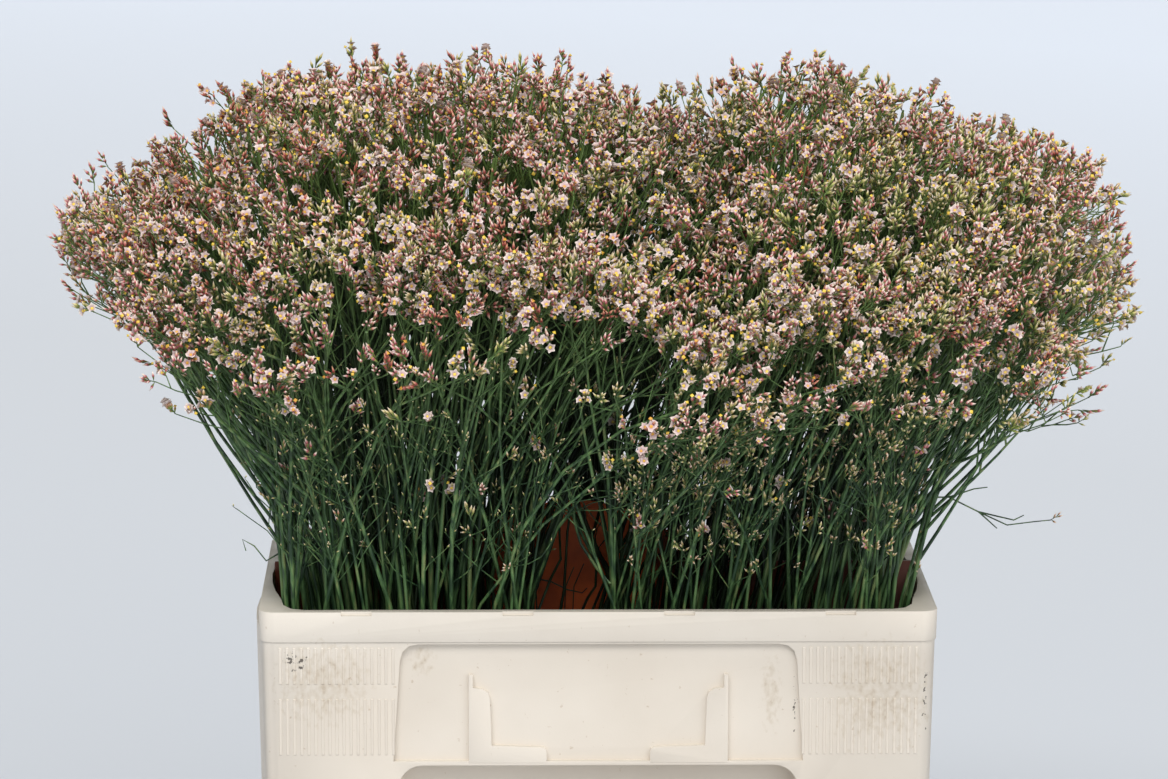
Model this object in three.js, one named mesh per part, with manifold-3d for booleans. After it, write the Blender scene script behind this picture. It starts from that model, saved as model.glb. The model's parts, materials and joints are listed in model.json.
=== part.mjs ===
// Chinese statice standing in a plastic flower crate. Millimetres, +Z up, +Y away from the front.
// The origin is the middle of the crate's flat underside.
import * as THREE from 'three';
import { mergeVertices } from 'three/addons/utils/BufferGeometryUtils.js';
import Module from 'manifold-3d';

const wasm = await Module();
wasm.setup();

// The crate's driving sizes
const crateWidth = 400;
const crateDepth = 230;
const crateHeight = 300;
const taper = 0.0227; // each wall leans in by this much for a millimetre of height
const sideWall = 3.2;
const frontWall = 3.2;
const floorThickness = 3;
const cornerRadius = 9;
const cornerSteps = 3;
const bandHeight = 18; // the rim band
const bandProud = 0.8;
const plateThickness = 4; // the plates round the opening
const openingDepth = 215;
const openingMiddle = 391.4; // the opening's width halfway back
const openingCorner = 376; // and where its corners begin
const openingFlat = 346; // and along its front edge
const openingCornerDepth = 33;
const bowDepth = 7.5; // how far each short side bulges out, near enough
const bowLength = 170;
const bowBottom = 0.5;
const bowTop = 279;
const notchPitch = 95;
const notchWidth = 18;
const notchDepth = 2.2;
const notches = 4;
const overcut = 2; // how far a cutting shape goes past the face it opens

// The recessed panel, label holder and hand pocket of each long side
const panelTop = 280.5;
const panelTopWidth = 232;
const panelBottomWidth = 242;
const panelBottom = 209.5;
const panelDepth = 3.2;
const panelCorner = 10;
const panelFlare = 1; // the panel's top corners stand this much wider than its top edge
const pocketTop = 207;
const pocketBottom = 163;
const pocketWidth = 236;
const pocketDepth = 15;
const pocketCorner = 14;
const holderHalfWidth = 76.5;
const holderTop = 262;
const holderRib = 2.4;
const holderRise = 3.4; // how far the label holder stands off the panel
const holderRoot = 1; // and how far it is sunk into the walls it grows from
const flangeTop = 254;
const flangeWidth = 12.5;
const flangeFoot = 219;
const footLength = 46;
const footHeight = 8.5;
const footDrop = 1; // how far the foot's top slopes down

// The divider
const dividerGap = 0.3; // under its foot
const dividerSideGap = 1; // and beside it in the crate's opening
const dividerY = 8;
const dividerThickness = 3;
const dividerEndTop = 306;
const dividerMiddleTop = 344;
const dividerMiddle = -12;
const dividerRaisedWidth = 160;

// The bunch: two bundles of stems side by side, in front of and behind the divider
const rows = [
  { left: 6, right: 5 },
  { left: 5, right: 4 },
  { left: 6, right: 5 },
  { left: 5, right: 4 },
]; // from front to back, with the sprays of each bundle
const bundleEnd = { foot: 165, rim: 187, top: 334 }; // how far each bundle reaches to its own side
const partingMiddle = { foot: -15, rim: -14, top: 56 }; // where the bundles part
const partingHalf = { foot: 7, rim: 22, top: 0 };
const partingBehind = 0.3; // how much of the parting is left behind the divider
const depthHalf = { foot: 88, rim: 94, top: 226 };
const dividerRoom = 4.5;
const bunchHeight = 322; // above the rim
const sideDrop = 118;
const frontDrop = 150;
const sidePower = 4;
const frontPower = 3;
const notchDrop = 30;
const notchSpread = 30;
const cornerNorm = { front: 2, back: 1.4 }; // how the two drops join at a corner of the bunch: 1 is their sum
const squareness = 0.45;
const fanPower = 1.4;
const partingPower = 0.6; // the parting closes faster than the bundles fan out

// One spray
const tubeSides = 3;
const stemRadii = [2, 2, 2, 1.8, 1.5, 1.2];
const limbRadii = [1.3, 1.1, 1.2];
const clearance = 0.4;
const footGap = 0.55; // the cut ends stand just clear of the crate's floor
const stemLevels = [-1, -0.4, 0, 0.33, 0.66, 1];
const stemTopFrom = 0.84; // where the stem itself ends, as a share of the bunch's height
const stemTopRange = 0.08;
const stemSway = 0.5;
const topLimbs = 3;
const topLimbFrom = 0.84;
const topLimbRange = 0.12;
const topLimbSpread = 0.8;
const topLimbTurn = 0.4;
const frontLimbs = [0.58, 0.8]; // how high the limbs end that hang out to the front or back
const sideLimbs = [0.72, 0.9]; // and to the left or right, and at the bunch's corners
const outerLimbRange = 0.1;
const outerLimbSway = 0.5;
const outerLimbReach = 0.95;
const limbRootShare = 0.5;
const limbBow = 0.1;
const stemBlossoms = [0.995, 0.92]; // where they sit, as a share of the length
const innerLimbBlossoms = [0.5, 0.68];
const outerLimbBlossoms = [0.56];
const blossomForward = 0.55;
const outwardLean = 0.35;
const sizeRange = 0.3;
const tipSway = 0.3;
const tries = 14;
const floretSize = { radius: 16.5, length: 27 }; // larger than life
const budSize = { radius: 10.5, length: 24 };
const blossomSides = 3;

const looks = {
  crate: { color: 0xe6dbcf, roughness: 0.55 },
  divider: { color: 0xa8521f, roughness: 0.6 },
  spray: { color: 0xb98f8c, roughness: 0.8 },
};

// A fixed stream of numbers from 0 to 1 for each seed: the digits that a large sine leaves behind its point
const seedStride = 12.9898;
const drawStride = 78.233;
const sineScale = 43758.5453;

function drawsFrom(seed) {
  let step = 0;
  return () => {
    step += 1;
    const value = Math.sin(seed * seedStride + step * drawStride) * sineScale;
    return value - Math.floor(value);
  };
}

function toSolid(geometry) {
  geometry.deleteAttribute('normal');
  geometry.deleteAttribute('uv');
  const merged = mergeVertices(geometry);
  const vertProperties = new Float32Array(merged.attributes.position.array);
  const triVerts = new Uint32Array(merged.index.array);
  return new wasm.Manifold(new wasm.Mesh({ numProp: 3, vertProperties, triVerts }));
}

function toMesh(solid, name, look) {
  const mesh = solid.getMesh();
  const geometry = new THREE.BufferGeometry();
  geometry.setAttribute('position', new THREE.BufferAttribute(mesh.vertProperties, 3));
  geometry.setIndex(new THREE.BufferAttribute(mesh.triVerts, 1));
  geometry.computeVertexNormals();
  const material = new THREE.MeshStandardMaterial({ ...look, metalness: 0 });
  const result = new THREE.Mesh(geometry, material);
  result.name = name;
  return result;
}

// Every wall leans in towards the foot: vertices move in with their depth below the rim
function leanIn(geometry, alongX, alongY) {
  const position = geometry.attributes.position;
  for (let i = 0; i < position.count; i += 1) {
    const shift = taper * (crateHeight - position.getZ(i));
    position.setX(i, position.getX(i) - (alongX ? Math.sign(position.getX(i)) * shift : 0));
    position.setY(i, position.getY(i) - (alongY ? Math.sign(position.getY(i)) * shift : 0));
  }
  return geometry;
}

function roundedRectangle(halfX, halfY, radius) {
  const shape = new THREE.Shape();
  shape.absarc(halfX - radius, halfY - radius, radius, 0, Math.PI / 2);
  shape.absarc(-halfX + radius, halfY - radius, radius, Math.PI / 2, Math.PI);
  shape.absarc(-halfX + radius, -halfY + radius, radius, Math.PI, Math.PI * 1.5);
  shape.absarc(halfX - radius, -halfY + radius, radius, Math.PI * 1.5, Math.PI * 2);
  return shape;
}

function upright(shape, bottom, top, curveSegments = cornerSteps) {
  const extrude = { depth: top - bottom, bevelEnabled: false, curveSegments };
  return new THREE.ExtrudeGeometry(shape, extrude).translate(0, 0, bottom);
}

function crateBlock(inset, insetY, radius, bottom, top) {
  const shape = roundedRectangle(crateWidth / 2 - inset, crateDepth / 2 - insetY, radius);
  return toSolid(leanIn(upright(shape, bottom, top), true, true));
}

// The opening is widest halfway back, and flat plates fill its corners. A quarter is drawn and mirrored.
function opening() {
  const side = openingMiddle / 2;
  const corner = openingCorner / 2;
  const front = openingDepth / 2;
  const cornerY = front - openingCornerDepth;
  const quarter = new THREE.Path();
  quarter.moveTo(openingFlat / 2, front);
  quarter.quadraticCurveTo(corner - bandProud, front, corner, cornerY);
  quarter.quadraticCurveTo(side, cornerY / 2, side, 0);
  const points = quarter.getPoints(cornerSteps);
  const flipped = (signX, signY) => points.map(({ x, y }) => new THREE.Vector2(x * signX, y * signY));
  const right = [...points, ...flipped(1, -1).reverse().slice(1)];
  const left = [...flipped(-1, -1), ...flipped(-1, 1).reverse().slice(1)];
  const outline = new THREE.Shape([...right, ...left]);
  return toSolid(upright(outline, crateHeight - plateThickness * 2, crateHeight + overcut));
}

// A short side's bulge: a thin lens in plan, from the floor nearly to the rim band
function sideBow(side) {
  const wall = crateWidth / 2 - bandProud;
  const shape = new THREE.Shape();
  shape.moveTo(wall - sideWall, -bowLength / 2);
  shape.lineTo(wall - sideWall / 2, -bowLength / 2);
  shape.quadraticCurveTo(wall + bowDepth * 2, 0, wall - sideWall / 2, bowLength / 2);
  shape.lineTo(wall - sideWall, bowLength / 2);
  const geometry = leanIn(upright(shape, bowBottom, bowTop, cornerSteps * 2), true, false);
  return toSolid(side < 0 ? geometry.rotateZ(Math.PI) : geometry);
}

// Shapes drawn in the front wall's plane, x across and y up, cut or raised from the wall's outer face
function onFront(shape, inner, outer, curveSegments = cornerSteps) {
  const extrude = { depth: outer - inner, bevelEnabled: false, curveSegments };
  const geometry = new THREE.ExtrudeGeometry(shape, extrude);
  geometry.rotateX(Math.PI / 2);
  geometry.translate(0, -(crateDepth / 2 - bandProud) - inner, 0);
  return leanIn(geometry, false, true);
}

function panelShape(grow) {
  const top = panelTopWidth / 2 + grow;
  const bottom = panelBottomWidth / 2 + grow;
  const ceiling = panelTop + grow;
  const shape = new THREE.Shape();
  shape.moveTo(-bottom, panelBottom - grow);
  shape.lineTo(bottom, panelBottom - grow);
  shape.lineTo(top + panelFlare, ceiling - panelCorner);
  shape.quadraticCurveTo(top, ceiling, top - panelCorner, ceiling);
  shape.lineTo(-top + panelCorner, ceiling);
  shape.quadraticCurveTo(-top, ceiling, -top - panelFlare, ceiling - panelCorner);
  return shape;
}

function pocketShape(grow) {
  const halfX = pocketWidth / 2 + grow;
  const halfZ = (pocketTop - pocketBottom) / 2 + grow;
  const middle = (pocketTop + pocketBottom) / 2;
  const shape = roundedRectangle(halfX, halfZ, pocketCorner);
  const points = shape.getPoints(cornerSteps).map((point) => new THREE.Vector2(point.x, point.y + middle));
  return new THREE.Shape(points);
}

// One half of the label holder: a rib with a flange and a foot that the card slides behind
function holderShape() {
  const outer = holderHalfWidth;
  const inner = outer - holderRib;
  const flange = outer - flangeWidth;
  const foot = outer - footLength;
  const shape = new THREE.Shape();
  shape.moveTo(outer, panelBottom - holderRoot);
  shape.lineTo(outer, holderTop);
  shape.lineTo(inner, holderTop);
  shape.lineTo(inner, flangeTop);
  shape.quadraticCurveTo(flange, flangeTop, flange, flangeTop - flangeWidth / 2);
  shape.lineTo(flange - footDrop, flangeFoot);
  shape.lineTo(foot + footHeight / 2, flangeFoot - footDrop);
  shape.quadraticCurveTo(foot, flangeFoot - footDrop, foot, flangeFoot - footHeight / 2);
  shape.lineTo(foot, panelBottom - holderRoot);
  return shape;
}

function mirrored(shape) {
  const points = shape.getPoints(cornerSteps).map((point) => new THREE.Vector2(-point.x, point.y));
  return new THREE.Shape(points.reverse());
}

function turned(geometry, back) {
  return toSolid(back ? geometry.rotateZ(Math.PI) : geometry);
}

// The panel and the pocket are pressed into the wall, so their own back walls stand into the crate
function dressLongSide(crate, back) {
  let result = crate;
  for (const [shape, depth] of [[panelShape, panelDepth], [pocketShape, pocketDepth]]) {
    result = result.add(turned(onFront(shape(frontWall), -depth - frontWall, -frontWall / 2), back));
  }
  for (const [shape, depth] of [[panelShape, panelDepth], [pocketShape, pocketDepth]]) {
    result = result.subtract(turned(onFront(shape(0), -depth, overcut), back));
  }
  for (const shape of [holderShape(), mirrored(holderShape())]) {
    const holder = onFront(shape, -panelDepth - holderRoot, holderRise - panelDepth);
    result = result.add(turned(holder, back));
  }
  for (let i = 0; i < notches; i += 1) {
    const notch = new THREE.BoxGeometry(notchWidth, notchDepth * 2, notchDepth * 2);
    notch.translate((i - (notches - 1) / 2) * notchPitch, -crateDepth / 2, crateHeight);
    result = result.subtract(turned(notch, back));
  }
  return result;
}

function makeCrate() {
  const band = crateBlock(0, 0, cornerRadius + bandProud, crateHeight - bandHeight, crateHeight);
  let crate = crateBlock(bandProud, bandProud, cornerRadius, 0, crateHeight - bandHeight / 2).add(band);
  crate = crate.add(sideBow(1)).add(sideBow(-1));
  const insideX = bandProud + sideWall;
  const insideY = bandProud + frontWall;
  const ceiling = crateHeight - plateThickness;
  crate = crate.subtract(crateBlock(insideX, insideY, cornerRadius, floorThickness, ceiling));
  crate = crate.subtract(opening());
  return dressLongSide(dressLongSide(crate, false), true);
}

function makeDivider() {
  const bottom = floorThickness + dividerGap;
  const inside = crateWidth / 2 - bandProud - sideWall - dividerGap;
  const bottomHalf = inside - taper * (crateHeight - bottom);
  const topHalf = openingMiddle / 2 - dividerSideGap;
  const raised = dividerRaisedWidth / 2;
  const rise = dividerMiddleTop - dividerEndTop;
  const shape = new THREE.Shape();
  shape.moveTo(-bottomHalf, bottom);
  shape.lineTo(bottomHalf, bottom);
  shape.lineTo(topHalf, dividerEndTop);
  shape.lineTo(dividerMiddle + raised, dividerEndTop);
  shape.quadraticCurveTo(dividerMiddle + raised / 2, dividerEndTop + rise, dividerMiddle, dividerMiddleTop);
  const leftEnd = dividerMiddle - raised;
  shape.quadraticCurveTo(leftEnd + raised / 2, dividerEndTop + rise, leftEnd, dividerEndTop);
  shape.lineTo(-topHalf, dividerEndTop);
  const extrude = { depth: dividerThickness, bevelEnabled: false, curveSegments: cornerSteps * 2 };
  const geometry = new THREE.ExtrudeGeometry(shape, extrude);
  geometry.rotateX(Math.PI / 2);
  geometry.translate(0, dividerY + dividerThickness / 2, 0);
  return toSolid(geometry);
}

// How high the bunch reaches above the rim at the place (a, b), both from -1 to 1
function reach(a, b, x) {
  const side = sideDrop * Math.abs(a) ** sidePower;
  const front = frontDrop * Math.abs(b) ** frontPower;
  const notch = notchDrop * Math.exp(-(((x - partingMiddle.top) / notchSpread) ** 2));
  const norm = b > 0 ? cornerNorm.back : cornerNorm.front;
  return bunchHeight - (side ** norm + front ** norm) ** (1 / norm) - notch;
}

// Where a stem passes: a is its place from left to right and b from front to back, both from -1 to 1.
// k is its height: -1 at the cut end, 0 at the rim, and 1 at the top of the bunch.
function passage(a, b, k) {
  const side = Math.sign(a);
  const { lerp } = THREE.MathUtils;
  const edge = (level) => partingMiddle[level] + side * partingHalf[level] * (b > 0 ? partingBehind : 1);
  const backwards = (level) => {
    const start = dividerY + Math.sign(b) * dividerRoom;
    return start + Math.abs(b) * (Math.sign(b) * depthHalf[level] - start);
  };
  if (k <= 0) {
    const inner = lerp(edge('rim'), edge('foot'), -k);
    const outer = side * lerp(bundleEnd.rim, bundleEnd.foot, -k);
    const y = lerp(backwards('rim'), backwards('foot'), -k);
    const foot = floorThickness + footGap;
    return new THREE.Vector3(lerp(inner, outer, Math.abs(a)), y, lerp(crateHeight, foot, -k));
  }
  const spread = k ** fanPower;
  const inner = lerp(edge('rim'), edge('top'), k ** partingPower);
  const outer = side * lerp(bundleEnd.rim, bundleEnd.top * Math.sqrt(1 - squareness * b * b), spread);
  const x = lerp(inner, outer, Math.abs(a));
  const topY = backwards('top') * Math.sqrt(1 - squareness * a * a);
  return new THREE.Vector3(x, lerp(backwards('rim'), topY, spread), crateHeight + k * reach(a, b, x));
}

// A thin three-sided tube through the points, with a radius for each of its evenly spaced rings
function tubeThrough(points, radii) {
  const steps = radii.length - 1;
  const curve = new THREE.CatmullRomCurve3(points);
  const shape = new THREE.Shape();
  for (let corner = 0; corner < tubeSides; corner += 1) {
    const angle = (corner * Math.PI * 2) / tubeSides;
    if (corner === 0) shape.moveTo(1, 0);
    else shape.lineTo(Math.cos(angle), Math.sin(angle));
  }
  const geometry = new THREE.ExtrudeGeometry(shape, { steps, extrudePath: curve });
  const rings = curve.getSpacedPoints(steps);
  const position = geometry.attributes.position;
  const vertex = new THREE.Vector3();
  for (let i = 0; i < position.count; i += 1) {
    vertex.fromBufferAttribute(position, i);
    const distances = rings.map((ring) => ring.distanceTo(vertex));
    const nearest = distances.indexOf(Math.min(...distances));
    vertex.sub(rings[nearest]).multiplyScalar(radii[nearest]).add(rings[nearest]);
    position.setXYZ(i, vertex.x, vertex.y, vertex.z);
  }
  return { solid: toSolid(geometry), rings };
}

// The point a share of the way along a tube's rings, and the direction there
function onTube(rings, share) {
  const at = share * (rings.length - 1);
  const before = Math.min(Math.floor(at), rings.length - 2);
  const point = rings[before].clone().lerp(rings[before + 1], at - before);
  const direction = rings[before + 1].clone().sub(rings[before]).normalize();
  return { point, direction };
}

// A floret or a bud: a slim funnel whose point is sunk in the twig, open end outwards
function blossom(size, scale, root, direction, turn) {
  const geometry = new THREE.ConeGeometry(size.radius * scale, size.length * scale, blossomSides);
  geometry.rotateX(Math.PI);
  geometry.translate(0, (size.length * scale) / 2, 0);
  geometry.rotateY(turn);
  geometry.applyQuaternion(new THREE.Quaternion().setFromUnitVectors(new THREE.Vector3(0, 1, 0), direction));
  geometry.translate(root.x, root.y, root.z);
  return toSolid(geometry);
}

// The share of a tube's rings at which it reaches a height
function shareAtHeight(rings, height) {
  const after = Math.max(1, rings.findIndex((ring) => ring.z > height));
  const low = rings[after - 1];
  const high = rings[after];
  return (after - 1 + (height - low.z) / (high.z - low.z)) / (rings.length - 1);
}

function isClear(solid, others) {
  return others.every((other) => other.minGap(solid, clearance) >= clearance);
}

// Where the tips of a spray's limbs come, in its own cell: u and v from -1 to 1, k as in passage.
// Sprays at the outside of the bunch also have limbs that hang out lower down.
function limbTips(cell, draw) {
  const tips = [];
  const turns = draw() * Math.PI * 2;
  for (let i = 0; i < topLimbs; i += 1) {
    const angle = turns + ((i + topLimbTurn * draw()) * Math.PI * 2) / topLimbs;
    const k = topLimbFrom + topLimbRange * draw();
    const blossoms = cell.outerV ? outerLimbBlossoms : innerLimbBlossoms;
    tips.push({ u: topLimbSpread * Math.cos(angle), v: topLimbSpread * Math.sin(angle), k, blossoms });
  }
  const hang = (levels, place) => {
    for (const [i, k] of levels.entries()) {
      const at = place((i % 2 ? 1 : -1) * outerLimbSway);
      tips.push({ ...at, k: k + outerLimbRange * draw(), blossoms: outerLimbBlossoms });
    }
  };
  const frontLevels = cell.outerU ? sideLimbs : frontLimbs;
  if (cell.outerV) hang(frontLevels, (sway) => ({ u: sway, v: outerLimbReach * cell.outerV }));
  if (cell.outerU) hang(sideLimbs, (sway) => ({ u: outerLimbReach, v: sway }));
  return tips;
}

// A limb leaves the stem below its tip, nearly along the stem, bends over to the tip and opens in a floret
function growLimb(stem, tip, draw) {
  const rootHeight = THREE.MathUtils.lerp(crateHeight, tip.z, limbRootShare);
  const { point, direction } = onTube(stem.rings, shareAtHeight(stem.rings, rootHeight));
  const middle = point.clone().add(tip).divideScalar(2);
  middle.addScaledVector(direction, limbBow * point.distanceTo(tip));
  const floretRadius = floretSize.radius * (1 + sizeRange * (draw() - 0.5));
  return tubeThrough([point, middle, tip], [...limbRadii, floretRadius]);
}

// A blossom somewhere along a stem or limb, leaning out to a side drawn at random
function growBlossom(tube, share, size, outwards, draw) {
  const { point, direction } = onTube(tube.rings, share);
  const angle = draw() * Math.PI * 2;
  const sideways = new THREE.Vector3(Math.cos(angle), Math.sin(angle), draw());
  const heading = direction.clone().multiplyScalar(blossomForward);
  heading.addScaledVector(sideways, 1 - blossomForward);
  heading.addScaledVector(outwards, outwardLean).normalize();
  const scale = 1 + sizeRange * (draw() - 0.5);
  return { solid: blossom(size, scale, point, heading, draw() * Math.PI) };
}

// Joins the most open of several tries to the spray: clear of its neighbours and with the simplest join
function joinBest(spray, others, makeTry) {
  let best = null;
  for (let i = 0; i < tries; i += 1) {
    const grown = makeTry();
    if (isClear(grown.solid, others)) {
      const joined = spray.add(grown.solid);
      if (!best || joined.numTri() < best.joined.numTri()) best = { ...grown, joined };
    }
  }
  return best;
}

// One cut stem with its limbs and blossoms, each kept clear of the sprays already grown
function growSpray(cell, others) {
  const draw = drawsFrom(cell.seed);
  const place = (u, v, k) => passage(cell.a + u * cell.halfA, cell.b + v * cell.halfB, k);
  const swayU = stemSway * (draw() - 0.5);
  const swayV = stemSway * (draw() - 0.5);
  const topShare = stemTopFrom + stemTopRange * draw();
  const stemPoints = stemLevels.map((k) => place(swayU * k, swayV * k, k < 0 ? k : k * topShare));
  const stem = tubeThrough(stemPoints, stemRadii);
  const outwards = stemPoints.at(-1).clone().sub(new THREE.Vector3(0, 0, crateHeight)).normalize();
  let spray = stem.solid;
  const tubes = [{ rings: stem.rings, shares: stemBlossoms }];
  for (const tip of limbTips(cell, draw)) {
    const limb = joinBest(spray, others, () => {
      const u = tip.u + tipSway * (draw() - 0.5);
      const v = tip.v + tipSway * (draw() - 0.5);
      return growLimb(stem, place(u, v, tip.k), draw);
    });
    if (limb) {
      spray = limb.joined;
      tubes.push({ rings: limb.rings, shares: tip.blossoms });
    }
  }
  for (const tube of tubes) {
    for (const [i, share] of tube.shares.entries()) {
      const size = i % 2 ? budSize : floretSize;
      const joint = joinBest(spray, others, () => growBlossom(tube, share, size, outwards, draw));
      if (joint) spray = joint.joined;
    }
  }
  return spray;
}

// A cell for each spray, its columns staggered from row to row
function makeCells() {
  const cells = [];
  for (const [row, columnsOf] of rows.entries()) {
    for (const [side, columns] of [[-1, columnsOf.left], [1, columnsOf.right]]) {
      for (let column = 0; column < columns; column += 1) {
        cells.push({
          a: (side * (column + 0.5)) / columns,
          b: (row + 0.5) / (rows.length / 2) - 1,
          halfA: side / (2 * columns),
          halfB: 1 / rows.length,
          outerU: column === columns - 1,
          outerV: Number(row === rows.length - 1) - Number(row === 0),
          seed: cells.length + 1,
        });
      }
    }
  }
  return cells;
}

const group = new THREE.Group();
const solids = [makeCrate(), makeDivider()];
group.add(toMesh(solids[0], 'crate', looks.crate));
group.add(toMesh(solids[1], 'divider', looks.divider));
for (const [i, cell] of makeCells().entries()) {
  const spray = growSpray(cell, solids);
  solids.push(spray);
  group.add(toMesh(spray, `spray_${String(i + 1).padStart(2, '0')}`, looks.spray));
}

export default group;
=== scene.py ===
import bmesh
import bpy
import json
import math
import random
from mathutils import Matrix, Vector

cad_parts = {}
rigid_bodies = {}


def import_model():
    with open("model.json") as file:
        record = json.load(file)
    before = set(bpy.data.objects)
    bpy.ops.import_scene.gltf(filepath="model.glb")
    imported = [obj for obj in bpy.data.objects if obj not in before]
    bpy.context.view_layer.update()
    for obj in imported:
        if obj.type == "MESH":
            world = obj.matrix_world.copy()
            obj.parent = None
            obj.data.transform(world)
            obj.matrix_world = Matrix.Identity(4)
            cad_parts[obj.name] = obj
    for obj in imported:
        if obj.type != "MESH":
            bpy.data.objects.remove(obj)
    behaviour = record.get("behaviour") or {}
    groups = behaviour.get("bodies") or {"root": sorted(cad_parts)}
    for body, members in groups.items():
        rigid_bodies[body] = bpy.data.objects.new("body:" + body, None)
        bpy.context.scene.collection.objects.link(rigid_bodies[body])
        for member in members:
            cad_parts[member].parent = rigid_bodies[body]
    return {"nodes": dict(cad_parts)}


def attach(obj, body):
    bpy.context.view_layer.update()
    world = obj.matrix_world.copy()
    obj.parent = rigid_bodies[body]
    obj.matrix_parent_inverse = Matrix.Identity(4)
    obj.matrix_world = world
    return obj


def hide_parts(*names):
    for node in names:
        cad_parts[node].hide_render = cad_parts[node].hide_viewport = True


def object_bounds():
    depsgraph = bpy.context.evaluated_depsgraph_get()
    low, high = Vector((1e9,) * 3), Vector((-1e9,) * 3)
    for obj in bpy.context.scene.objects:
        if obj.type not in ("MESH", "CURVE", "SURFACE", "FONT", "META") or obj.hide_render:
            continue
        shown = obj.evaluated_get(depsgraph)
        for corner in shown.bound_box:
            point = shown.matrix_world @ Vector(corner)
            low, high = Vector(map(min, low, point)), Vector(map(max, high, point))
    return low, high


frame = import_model()
cadLow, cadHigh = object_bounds()
mm = 0.001


# Colours and materials

def fromSrgb(red, green, blue):
    parts = [value / 255 for value in (red, green, blue)]
    return tuple(v / 12.92 if v <= 0.04045 else ((v + 0.055) / 1.055) ** 2.4 for v in parts) + (1,)


def grey(value):
    return (value, value, value, 1)


def newMaterial(name, colour, roughness, sheen=0.0):
    material = bpy.data.materials.new(name)
    material.use_nodes = True
    tree = material.node_tree
    shader = tree.nodes["Principled BSDF"]
    shader.inputs["Base Color"].default_value = colour
    shader.inputs["Roughness"].default_value = roughness
    shader.inputs["Sheen Weight"].default_value = sheen
    return material, tree, shader


def addNode(tree, kind, inputs=(), **settings):
    node = tree.nodes.new(kind)
    for name, value in settings.items():
        setattr(node, name, value)
    for name, value in dict(inputs).items():
        if isinstance(value, bpy.types.NodeSocket):
            tree.links.new(value, node.inputs[name])
        else:
            node.inputs[name].default_value = value
    return node


def addRamp(tree, factor, stops):
    ramp = addNode(tree, "ShaderNodeValToRGB", {"Fac": factor})
    elements = ramp.color_ramp.elements
    while len(elements) < len(stops):
        elements.new(0.5)
    for element, (place, colour) in zip(elements, stops):
        element.position = place
        element.color = colour
    return ramp.outputs["Color"]


def addMix(tree, factor, first, second, blend="MIX"):
    node = addNode(tree, "ShaderNodeMix", data_type="RGBA", blend_type=blend)
    for socket, value in ((node.inputs[0], factor), (node.inputs[6], first), (node.inputs[7], second)):
        if isinstance(value, bpy.types.NodeSocket):
            tree.links.new(value, socket)
        else:
            socket.default_value = value
    return node.outputs[2]


def addMaths(tree, operation, first, second=0.0):
    return addNode(tree, "ShaderNodeMath", {0: first, 1: second}, operation=operation).outputs[0]


def addAxes(tree):
    place = addNode(tree, "ShaderNodeTexCoord").outputs["Object"]
    return addNode(tree, "ShaderNodeSeparateXYZ", {"Vector": place}).outputs


def addNoise(tree, scale, detail, stretch=(1, 1, 1)):
    place = addNode(tree, "ShaderNodeTexCoord").outputs["Object"]
    spread = addNode(tree, "ShaderNodeMapping", {"Vector": place, "Scale": stretch}).outputs["Vector"]
    inputs = {"Vector": spread, "Scale": scale, "Detail": detail}
    return addNode(tree, "ShaderNodeTexNoise", inputs).outputs["Fac"]


# Darkens and lightens a colour with a fine grain
def addGrain(tree, colour, scale, detail, stops):
    shade = addRamp(tree, addNoise(tree, scale, detail), stops)
    return addMix(tree, 1.0, colour, shade, "MULTIPLY")


# Lays a colour over another where a value rises. Levels: where that starts and ends, and its full share.
def addLayer(tree, under, over, value, levels):
    low, high, most = levels
    return addMix(tree, addRamp(tree, value, [(low, grey(0)), (high, grey(most))]), under, over)


def addBump(tree, shader, height, strength, distance):
    bump = addNode(tree, "ShaderNodeBump", {"Height": height, "Strength": strength, "Distance": distance})
    tree.links.new(bump.outputs["Normal"], shader.inputs["Normal"])


# What lies deep in the bunch is darker, as little light gets there. In metres, the half sizes at the rim.
depthShade = {
    "rim": 0.3,
    "X": {"half": 0.187, "widening": 0.45, "power": 4, "drop": 0.118},
    "Y": {"half": 0.086, "widening": 0.38, "power": 3, "drop": 0.15},
    "height": 0.322,
    "leastHeight": 0.05,
    "darkest": (0.2, 0.23, 0.2, 1),
    "darkUpTo": 0.58,
    "lightFrom": 0.95,
}


def addDepthShade(tree, shader, colour):
    look = depthShade
    axes = addAxes(tree)
    rise = addMaths(tree, "MAXIMUM", addMaths(tree, "SUBTRACT", axes["Z"], look["rim"]), 0.0)
    outer = drop = 0.0
    for axis in ("X", "Y"):
        form = look[axis]
        size = addMaths(tree, "ADD", addMaths(tree, "MULTIPLY", rise, form["widening"]), form["half"])
        share = addMaths(tree, "DIVIDE", addMaths(tree, "ABSOLUTE", axes[axis]), size)
        fall = addMaths(tree, "MULTIPLY", addMaths(tree, "POWER", share, form["power"]), form["drop"])
        drop = addMaths(tree, "ADD", drop, fall)
        outer = addMaths(tree, "MAXIMUM", outer, share)
    height = addMaths(tree, "SUBTRACT", look["height"], drop)
    k = addMaths(tree, "DIVIDE", rise, addMaths(tree, "MAXIMUM", height, look["leastHeight"]))
    outer = addMaths(tree, "MAXIMUM", outer, k)
    shade = addRamp(tree, outer, [(look["darkUpTo"], look["darkest"]), (look["lightFrom"], grey(1))])
    tree.links.new(addMix(tree, 1.0, colour, shade, "MULTIPLY"), shader.inputs["Base Color"])


stemLook = {
    "deep": fromSrgb(37, 65, 40),
    "fresh": fromSrgb(91, 127, 75),
    "old": fromSrgb(142, 154, 98),
    # Painted light: higher up the stems are a lighter yellow-green; from and to what height in metres, and
    # its full share
    "twig": fromSrgb(108, 134, 62),
    "paintedLightLevels": (0.38, 0.56, 0.7),
    "roughness": 0.5,
    "stretch": (1, 1, 0.06),
    "acrossScale": 240,
    "mottleScale": 90,
    "ridgeScale": 900,
    "ridgeStrength": 0.35,
    "ridgeHeight": 0.4 * mm,
}


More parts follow.
